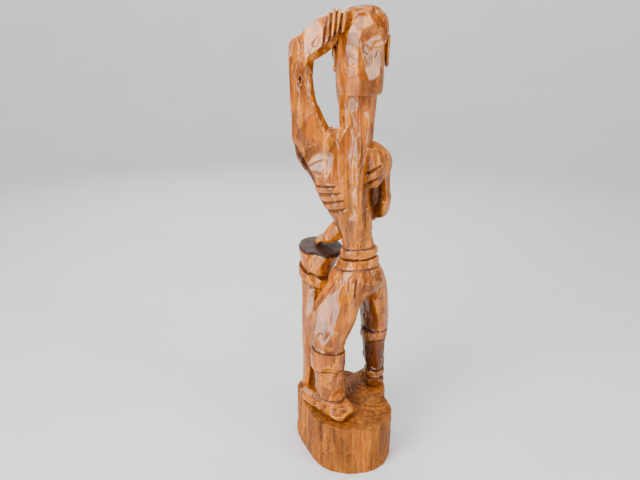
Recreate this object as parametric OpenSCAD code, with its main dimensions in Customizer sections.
// Carved ancestor figure: a standing drummer cut from one log.
// Millimetres. +Z up, the figure faces -Y, its left side is +X.
// Origin: centre of the flat underside of the plinth.

/* [Overall] */
// Height of the whole carving, from the underside to the crown
figure_h = 500; // [490:1:515]
// Height of the log plinth under the left foot
plinth_h = 60; // [57:1:64]
// Width of the plinth, side to side
plinth_w = 115; // [112:1:120]
// Depth of the plinth, front to back
plinth_d = 132; // [128:1:138]
// Height of the mound under the right foot
mound_h = 10; // [8:1:12]

/* [Head] */
// Half width of the hair block at its widest
hair_w = 28; // [26:0.5:29]
// Half depth of the hair block
hair_d = 31; // [29:0.5:33]
// Height of each ear
ear_h = 32; // [28:1:34]
// Half width of the neck
neck_w = 17; // [16:0.5:18]

/* [Body] */
// Half width of the waist
waist_w = 18; // [17:0.5:19]
// Half depth of the waist
waist_d = 16; // [15:0.5:17]
// Half width of the hips at their widest
hip_w = 36; // [34:0.5:37]
// Half width of the lower belt
belt_w = 24; // [23:0.5:25]
// Height of one belt
belt_h = 10; // [9:0.5:11]
// Groove between the two belts
belt_gap = 2; // [1.5:0.5:2.5]

/* [Limbs] */
// Half width of a shin
shin_w = 17; // [16:0.5:17.5]
// How far a knee band stands out of the leg
band_proud = 1.5; // [1:0.5:2]
// Half thickness of the right arm, seen from behind
arm_w = 7; // [6.5:0.5:7.5]

/* [Drum] */
// Radius of the drum's playing head
drum_r = 24; // [23:0.5:25]
// Thickness of the playing head
drum_head_h = 4; // [3:0.5:5]
// Lean of the playing head towards the player
drum_lean = 8; // [6:1:10]
// Lean of the playing head to the player's right
drum_side_lean = 10; // [8:1:12]

/* [Hidden] */

wood = "#b5642a";
pale_wood = "#c98446";
dark_wood = "#6e3a1c";
drum_dark = "#3a1e12";

sides = 20;      // corners of one cut section
thin = 0.02;     // thickness of a flat disc before two are joined
steps = 3;       // cuts between two given sections

// A height as a share of the standing figure above the plinth
function up(share) = plinth_h + share * (figure_h - plinth_h);

right_sole_z = plinth_h + mound_h;
ankle_z = up(0.035);
ring_low_z = right_sole_z + 12;
ring_top_z = ring_low_z + 9;
band_low_z = up(0.12);
knee_z = up(0.175);
right_knee_z = up(0.19);
right_band_low_z = right_knee_z - 12;
crotch_z = up(0.31);
belt_z = up(0.385);
groove_z = belt_z + belt_h;
waist_z = groove_z + belt_gap + belt_h;
chest_z = up(0.605);
shoulder_z = up(0.715);
nape_z = up(0.805);

axis_x = -14;     // middle of waist, neck and head, off the plinth's centre
drum_top = [25, -40, 238];

// Catmull-Rom value between b and c
function blend(a, b, c, d, t) =
    0.5 * ((2 * b) + (c - a) * t + (2 * a - 5 * b + 4 * c - d) * t * t
    + (3 * b - a - 3 * c + d) * t * t * t);

// The given sections with more sections blended between them
function smoothed(path) =
    let (last = len(path) - 1)
    [for (i = [0 : last - 1], k = [0 : steps - 1])
        blend(path[max(i - 1, 0)], path[i], path[i + 1], path[min(i + 2, last)], k / steps),
     path[last]];

function at(s) = [s[0], s[1], s[2]];
function unit(v) = v / norm(v);

// Corners of one section, [x, y, z, half width, half depth], across two directions
function ring(s, wide, deep) =
    [for (k = [0 : sides - 1])
        let (a = (k + 0.5) * 360 / sides)
        at(s) + wide * (s[3] * cos(a)) + deep * (s[4] * sin(a))];

// The solid between two rings of corners
module between(low, high) {
    corners = concat(low, high);
    hull()
        polyhedron(corners, [[for (k = [0 : len(corners) - 1]) k]]);
}

// A solid cut through a row of level sections
module carve(path) {
    cuts = smoothed(path);
    for (i = [0 : len(cuts) - 2])
        between(ring(cuts[i], [1, 0, 0], [0, 1, 0]),
                ring(cuts[i + 1], [1, 0, 0], [0, 1, 0]));
}

// Ring number i of a limb, square to the limb's run
function limb_ring(cuts, i) =
    let (last = len(cuts) - 1,
         run = unit(at(cuts[min(i + 1, last)]) - at(cuts[max(i - 1, 0)])),
         wide = unit(cross([0, 1, 0], run)),
         deep = cross(run, wide))
    ring(cuts[i], wide, deep);

// A limb through sections that stay square to its run
module limb(path) {
    cuts = smoothed(path);
    for (i = [0 : len(cuts) - 2])
        between(limb_ring(cuts, i), limb_ring(cuts, i + 1));
}

module slab(low, high) {
    reach = 300;
    translate([-reach / 2, -reach / 2, low])
        cube([reach, reach, high - low]);
}

// ---- plinth ----

module plinth_outline() {
    half_w = plinth_w / 2;
    half_d = plinth_d / 2;
    side_shift = 8;
    depth_shift = 20;
    hull()
        for (end = [-1, 1])
            translate([-end * side_shift, end * depth_shift])
                scale([half_w - side_shift, half_d - depth_shift])
                    circle(r = 1, $fn = 48);
}

module plinth_form() {
    linear_extrude(plinth_h) plinth_outline();
    mound_r = 30;
    hull() {
        translate([-28, -20, plinth_h - 1])
            scale([0.9, 1.3, 1]) cylinder(h = 1, r = mound_r, $fn = 28);
        translate([-33, -20, right_sole_z - 1])
            scale([0.6, 1.25, 1]) cylinder(h = 1, r = mound_r - 6, $fn = 28);
    }
}

// ---- left leg ----

module left_foot_form() {
    sole = plinth_h;
    carve_pairs = [
        [[1, 40, 15, 12], [12, 30, 16, 20]],
        [[12, 30, 16, 20], [26, 16, 14, 16]],
        [[26, 16, 14, 16], [38, 3, 11, 12]],
        [[38, 3, 11, 12], [49, -6, 5, 8]]
    ];
    for (pair = carve_pairs, half = [0, 1])
        hull()
            for (p = pair)
                translate([p[0], p[1], sole])
                    cylinder(h = half == 0 ? p[3] * 0.55 : p[3],
                             r1 = p[2], r2 = half == 0 ? p[2] : p[2] * 0.62, $fn = 24);
}

module left_leg_form() {
    carve([
        [13, 22, plinth_h, 15, 16],
        [14, 22, ankle_z, shin_w - 1, 16],
        [16, 21, 90, shin_w, 16.5],
        [18, 21, band_low_z, shin_w + 1, 17],
        [18, 19, knee_z, shin_w + 1.5, 18],
        [16, 18, 150, 22, 20],
        [12, 15, 170, 25.5, 22],
        [7, 11, 188, 27, 23],
        [0, 6, 204, 26, 22],
        [-6, 2, 222, 21, 19]
    ]);
}

module left_band_form() {
    carve([
        [18.5, 21, band_low_z, shin_w + band_proud + 1, 17 + band_proud],
        [18.5, 20.5, (band_low_z + knee_z) / 2, shin_w + band_proud + 1.5, 18 + band_proud],
        [18.5, 19.5, knee_z, shin_w + band_proud + 1.5, 18 + band_proud],
        [18.4, 19.4, knee_z + 0.5, shin_w + band_proud + 1.5, 18 + band_proud]
    ]);
}

// ---- right leg ----

module right_foot_form() {
    sole = right_sole_z;
    pairs = [
        [[-38, -16, 13, 18], [-38, -28, 13, 18]],
        [[-38, -28, 13, 18], [-37, -40, 12, 13]],
        [[-37, -40, 12, 13], [-35, -50, 9, 9]],
        [[-35, -50, 9, 9], [-34, -53, 7, 7]]
    ];
    for (pair = pairs, half = [0, 1])
        hull()
            for (p = pair)
                translate([p[0], p[1], sole])
                    cylinder(h = half == 0 ? p[3] * 0.55 : p[3],
                             r1 = p[2], r2 = half == 0 ? p[2] : p[2] * 0.7, $fn = 24);
}

module right_leg_form() {
    carve([
        [-38, -20, right_sole_z, 10, 12],
        [-38, -20, ring_top_z, 11.5, 13],
        [-37, -20, 106, 13, 14.5],
        [-36.5, -20, right_band_low_z, 14.5, 16],
        [-36.5, -20, right_knee_z, 16, 17],
        [-36, -19, 160, 17.5, 19],
        [-34.5, -16, 180, 18, 21],
        [-30, -10, 200, 18, 21],
        [-26, -4, 222, 17, 18]
    ]);
}

// ---- hips and belts ----

module hips_form() {
    carve([
        [-9, 3, crotch_z - 7, 14, 14],
        [-10, 3, crotch_z + 1, 28, 19],
        [-12, 2, 206, hip_w - 1, 23],
        [-14, 1, 217, hip_w - 5, 24],
        [-15, 0, 225, 27.5, 22],
        [-15, 0, belt_z, belt_w + 1, 20]
    ]);
}

module belt(low, high, w, d) {
    bulge = 0.6;
    carve([
        [axis_x - 1, 0, low, w, d],
        [axis_x - 1, 0, low + 0.3 * (high - low), w + bulge, d + bulge],
        [axis_x - 1, 0, low + 0.7 * (high - low), w + bulge, d + bulge],
        [axis_x - 1, 0, high, w - 0.5, d - 0.5]
    ]);
}

// ---- torso, neck and head ----

module torso_form() {
    carve([
        [axis_x, 0, waist_z, waist_w, waist_d],
        [axis_x + 2, 0, 265, waist_w + 1, waist_d],
        [-9, -1, 277, 20.5, 17],
        [-4, -2, 292, 24, 19],
        [1, -3, 306, 28, 21],
        [5, -3, chest_z, 32, 22],
        [7, -3, 344, 37, 22],
        [8, -2, 356, 38, 20],
        [2, -2, 366, 32, 18],
        [-9, -2, shoulder_z, 21, 16]
    ]);
}

module neck_form() {
    carve([
        [axis_x + 2, -2, shoulder_z, 19, 15.5],
        [axis_x + 1, -3, 387, neck_w, 15.5],
        [axis_x + 2, -4, 400, neck_w + 0.5, 16.5],
        [axis_x + 2, -5, nape_z, neck_w + 2, 18]
    ]);
}

module face_form() {
    carve([
        [-7, -33, up(0.745), 7, 6],
        [-7, -31, up(0.755), 13, 10],
        [-9, -26, 400, 18, 15],
        [-10, -21, 414, 21, 21],
        [-11, -17, 436, 23, 26],
        [-12, -13, 456, 24, 27],
        [-13, -8, 472, 22, 24]
    ]);
    // Nose
    hull() {
        translate([-5, -42, 422]) sphere(r = 5, $fn = 16);
        translate([-7, -40, 446]) sphere(r = 3, $fn = 16);
    }
}

module hair_form() {
    top = figure_h - 500;
    carve([
        [-12.5, 1, nape_z, 23, 22],
        [-13, 0, 428, 25.4, 25],
        [-13, -1, 448, 25.5, 27],
        [-13, -3, 462, 26, 29],
        [-13.5, -5, 476 + top, hair_w, hair_d],
        [-14, -5, 486 + top, 25.5, hair_d - 4],
        [-14.5, -5, 494 + top, 19, hair_d - 12],
        [-15, -5, 498.5 + top, 11, 11],
        [-15, -5, figure_h - thin / 2, 4, 4]
    ]);
}

// Shell of hair open at the front, where the face comes through
module hair_shell_form() {
    difference() {
        hair_form();
        face_window_form();
    }
}

module face_window_form() {
    carve([
        [-9, -46, nape_z - 5, 30, 40],
        [-10, -44, 436, 31, 40],
        [-12, -40, 458, 30, 32],
        [-13, -38, 470, 24, 20]
    ]);
}

module ear_form(at, turn) {
    translate(at)
        rotate([0, 0, turn])
            for (i = [0 : 7])
                hull() {
                    translate([0, 0, (i / 8 - 0.5) * ear_h])
                        scale([3.4, 7 * ear_round(i / 8), 1]) cylinder(h = thin, r = 1, $fn = 16);
                    translate([0, 0, ((i + 1) / 8 - 0.5) * ear_h])
                        scale([3.4, 7 * ear_round((i + 1) / 8), 1]) cylinder(h = thin, r = 1, $fn = 16);
                }
}

function ear_round(t) = 0.35 + 0.65 * sqrt(max(0, sin(180 * t)));

// ---- left arm, raised to the head ----

elbow = [45, 4, 452];
wrist = [28, 3, 470];

module left_upper_arm_form() {
    limb([
        [26, -1, 338, 14, 13],
        [32, 0, 354, 21, 15],
        [37, 2, 376, 20, 16],
        [42, 3, 396, 16, 14.5],
        [46, 4, 416, 13, 13.5],
        [46, 4, 438, 12.5, 13.5],
        [elbow[0], elbow[1], elbow[2], 13.5, 13.5],
        [elbow[0] - 2, elbow[1], elbow[2] + 15, 10, 11]
    ]);
}

module left_forearm_form() {
    limb([
        [50, 4, 446, 12, 12],
        [elbow[0], elbow[1], elbow[2], 14, 13.5],
        [37, 4, 461, 15, 12.5],
        [wrist[0], wrist[1], wrist[2], 14.5, 11],
        [20, 3, 478, 15, 11],
        [13, 3, 484, 13, 11]
    ]);
}

module left_hand_form() {
    limb([
        [37, 4, 461, 15, 12.5],
        [wrist[0], wrist[1], wrist[2], 14.5, 11],
        [20, 3, 478, 15, 11],
        [13, 3, 484, 13, 11],
        [5, 3, 489, 7, 9]
    ]);
}

// The upper arm's side of a mitre through the raised elbow
module below_elbow_cut() {
    translate(elbow)
        rotate([0, -31, 0])
            translate([-100, -100, -200]) cube([200, 200, 200]);
}

// The hand side of a cut across the wrist
module past_wrist_cut() {
    translate(wrist)
        rotate([0, -55, 0])
            translate([-100, -100, 0]) cube([200, 200, 200]);
}

// ---- right arm, bent across the belly ----

right_elbow = [-41, -22, 287];
right_wrist = [12, -35, 261];

module right_upper_arm_form() {
    limb([
        [-24, -3, 357, 6, 11],
        [-33, -7, 352, 9, 13],
        [-41, -13, 341, 9, 13],
        [-44, -18, 325, arm_w, 12],
        [-44, -20, 305, arm_w, 11],
        [right_elbow[0], right_elbow[1], right_elbow[2], arm_w + 1, 10],
        [right_elbow[0] + 3, right_elbow[1] - 1, right_elbow[2] - 9, 5, 6]
    ]);
}

// Wood left standing between the right arm and the ribs
module right_arm_web_form() {
    carve([
        [-35, -25, 283, 8, 5],
        [-35, -24, 300, 9, 5],
        [-35, -22, 318, 9, 5],
        [-34, -18, 330, 8, 5]
    ]);
}

module right_forearm_form() {
    limb([
        [right_elbow[0], right_elbow[1], right_elbow[2], 8, 9],
        [-26, -27, 280, 8.5, 8.5],
        [-6, -31, 270, 8, 7.5],
        [right_wrist[0], right_wrist[1], right_wrist[2], 7, 7],
        [20, -38.5, 254.3, 7, 9]
    ]);
}

module right_hand_form() {
    limb([
        [-6, -31, 270, 8, 7.5],
        [right_wrist[0], right_wrist[1], right_wrist[2], 7, 7],
        [20, -38.5, 254.3, 7, 9],
        [28, -42.6, 247.5, 6, 10],
        [37, -46, 242.5, 4, 8]
    ]);
}

// ---- drum ----

module drum_tilted() {
    translate(drum_top)
        rotate([-drum_lean, -drum_side_lean, 0])
            children();
}

module drum_head_form() {
    drum_tilted()
        translate([0, 0, -drum_head_h])
            cylinder(h = drum_head_h, r = drum_r, $fn = 48);
}

module drum_bowl_form() {
    drum_tilted()
        for (i = [0 : 7])
            hull() {
                bowl_disc(i / 8);
                bowl_disc((i + 1) / 8);
            }
}

// Disc of the bowl, from t = 0 under the head to t = 1 at the band
module bowl_disc(t) {
    depth = 24;
    translate([5 * t, 4 * t, -drum_head_h - depth * t - thin])
        cylinder(h = thin, r = drum_r + 0.6 - 5 * t * t, $fn = 40);
}

module drum_band_form() {
    carve([
        [31, -34, 196, 18.5, 18.5],
        [31, -35, 200, 21, 21],
        [30, -35, 206, 22, 22],
        [30, -36, 210, 22, 22]
    ]);
}

module drum_stem_form() {
    carve([
        [41, -32, plinth_h - 2, 9, 14],
        [41, -30, 72, 8, 14],
        [39, -26, 100, 10, 16],
        [37, -25, 130, 12.5, 18],
        [36, -27, 160, 13.5, 19],
        [34, -31, 180, 15, 18],
        [32, -34, 196, 18, 17.5]
    ]);
}

// ================= nodes =================

module plinth() {
    color(dark_wood) plinth_form();
}

module left_foot() {
    color(wood) difference() {
        left_foot_form();
        plinth_form();
    }
}

module left_shin() {
    color(wood) difference() {
        intersection() {
            left_leg_form();
            slab(plinth_h, band_low_z);
        }
        left_foot_form();
    }
}

module left_knee_band() {
    color(pale_wood) intersection() {
        left_band_form();
        slab(band_low_z, knee_z);
    }
}

module left_thigh() {
    color(wood) difference() {
        intersection() {
            left_leg_form();
            slab(knee_z, crotch_z + 10);
        }
        hips_form();
    }
}

module right_foot() {
    color(dark_wood) difference() {
        right_foot_form();
        plinth_form();
    }
}

module right_ankle_ring() {
    proud = 1.8;
    color(wood) difference() {
        carve([
            [-38, -20, ring_low_z, 11.5 + proud, 13 + proud],
            [-38, -20, ring_low_z + 3, 12 + proud, 13.5 + proud],
            [-38, -20, ring_low_z + 6, 12 + proud, 13.5 + proud],
            [-38, -20, ring_top_z, 11.5 + proud, 13 + proud]
        ]);
        right_foot_form();
    }
}

module right_shin() {
    color(dark_wood) intersection() {
        right_leg_form();
        slab(ring_top_z, right_band_low_z);
    }
}

module right_knee_band() {
    proud = band_proud;
    color(wood) intersection() {
        carve([
            [-36.5, -20, right_band_low_z, 15 + proud, 16 + proud],
            [-36.5, -20, right_band_low_z + 4, 15.5 + proud, 16.5 + proud],
            [-36.5, -20, right_band_low_z + 8, 16 + proud, 17 + proud],
            [-36.5, -20, right_knee_z, 16 + proud, 17 + proud]
        ]);
        slab(right_band_low_z, right_knee_z);
    }
}

module right_thigh() {
    color(wood) difference() {
        intersection() {
            right_leg_form();
            slab(right_knee_z, crotch_z + 10);
        }
        hips_form();
        left_leg_form();
    }
}

module hips() {
    color(wood) hips_form();
}

module lower_belt() {
    color(pale_wood) belt(belt_z, groove_z, belt_w, 19);
}

module upper_belt() {
    color(pale_wood) union() {
        belt(groove_z + belt_gap, waist_z, belt_w - 2.5, 18);
        belt(groove_z, groove_z + belt_gap, belt_w - 4.5, 16);
    }
}

module torso() {
    color(wood) torso_form();
}

module neck() {
    color(wood) neck_form();
}

module face() {
    color(wood) difference() {
        face_form();
        hair_shell_form();
        neck_form();
    }
}

module hair_block() {
    color(wood) hair_shell_form();
}

module left_ear() {
    color(pale_wood) difference() {
        ear_form([14, -5, 450], 12);
        hair_shell_form();
        face_form();
        left_hand_form();
    }
}

module right_ear() {
    color(pale_wood) difference() {
        ear_form([-39.5, -3, 458], -8);
        hair_shell_form();
        face_form();
    }
}

module left_upper_arm() {
    color(wood) difference() {
        intersection() {
            left_upper_arm_form();
            below_elbow_cut();
        }
        torso_form();
    }
}

module left_forearm() {
    color(pale_wood) difference() {
        left_forearm_form();
        below_elbow_cut();
        past_wrist_cut();
        hair_shell_form();
    }
}

module left_hand() {
    color(pale_wood) difference() {
        intersection() {
            left_hand_form();
            past_wrist_cut();
        }
        hair_shell_form();
        face_form();
    }
}

module right_upper_arm() {
    color(wood) difference() {
        union() {
            right_upper_arm_form();
            right_arm_web_form();
        }
        torso_form();
    }
}

module right_forearm() {
    color(wood) difference() {
        right_forearm_form();
        right_upper_arm_form();
        right_arm_web_form();
        torso_form();
        right_hand_cut();
    }
}

// The hand side of a cut across the right wrist
module right_hand_cut() {
    translate(right_wrist)
        rotate([0, 24, 3])
            translate([0.4, -50, -50]) cube([100, 100, 100]);
}

module right_hand() {
    color(wood) difference() {
        intersection() {
            right_hand_form();
            right_hand_cut();
        }
        drum_head_form();
    }
}

module drum_head() {
    color(drum_dark) difference() {
        drum_head_form();
        hips_form();
        belt(belt_z, groove_z, belt_w, 19);
    }
}

module drum_bowl() {
    color(pale_wood) difference() {
        drum_bowl_form();
        hips_form();
        belt(belt_z, groove_z, belt_w, 19);
        drum_band_form();
    }
}

module drum_band() {
    color(wood) difference() {
        drum_band_form();
        hips_form();
        left_leg_form();
    }
}

module drum_stem() {
    color(wood) difference() {
        drum_stem_form();
        plinth_form();
        left_foot_form();
        left_leg_form();
        left_band_form();
        hips_form();
    }
}

plinth();
left_foot();
left_shin();
left_knee_band();
left_thigh();
right_foot();
right_ankle_ring();
right_shin();
right_knee_band();
right_thigh();
hips();
lower_belt();
upper_belt();
torso();
neck();
face();
hair_block();
left_ear();
right_ear();
left_upper_arm();
left_forearm();
left_hand();
right_upper_arm();
right_forearm();
right_hand();
drum_head();
drum_bowl();
drum_band();
drum_stem();
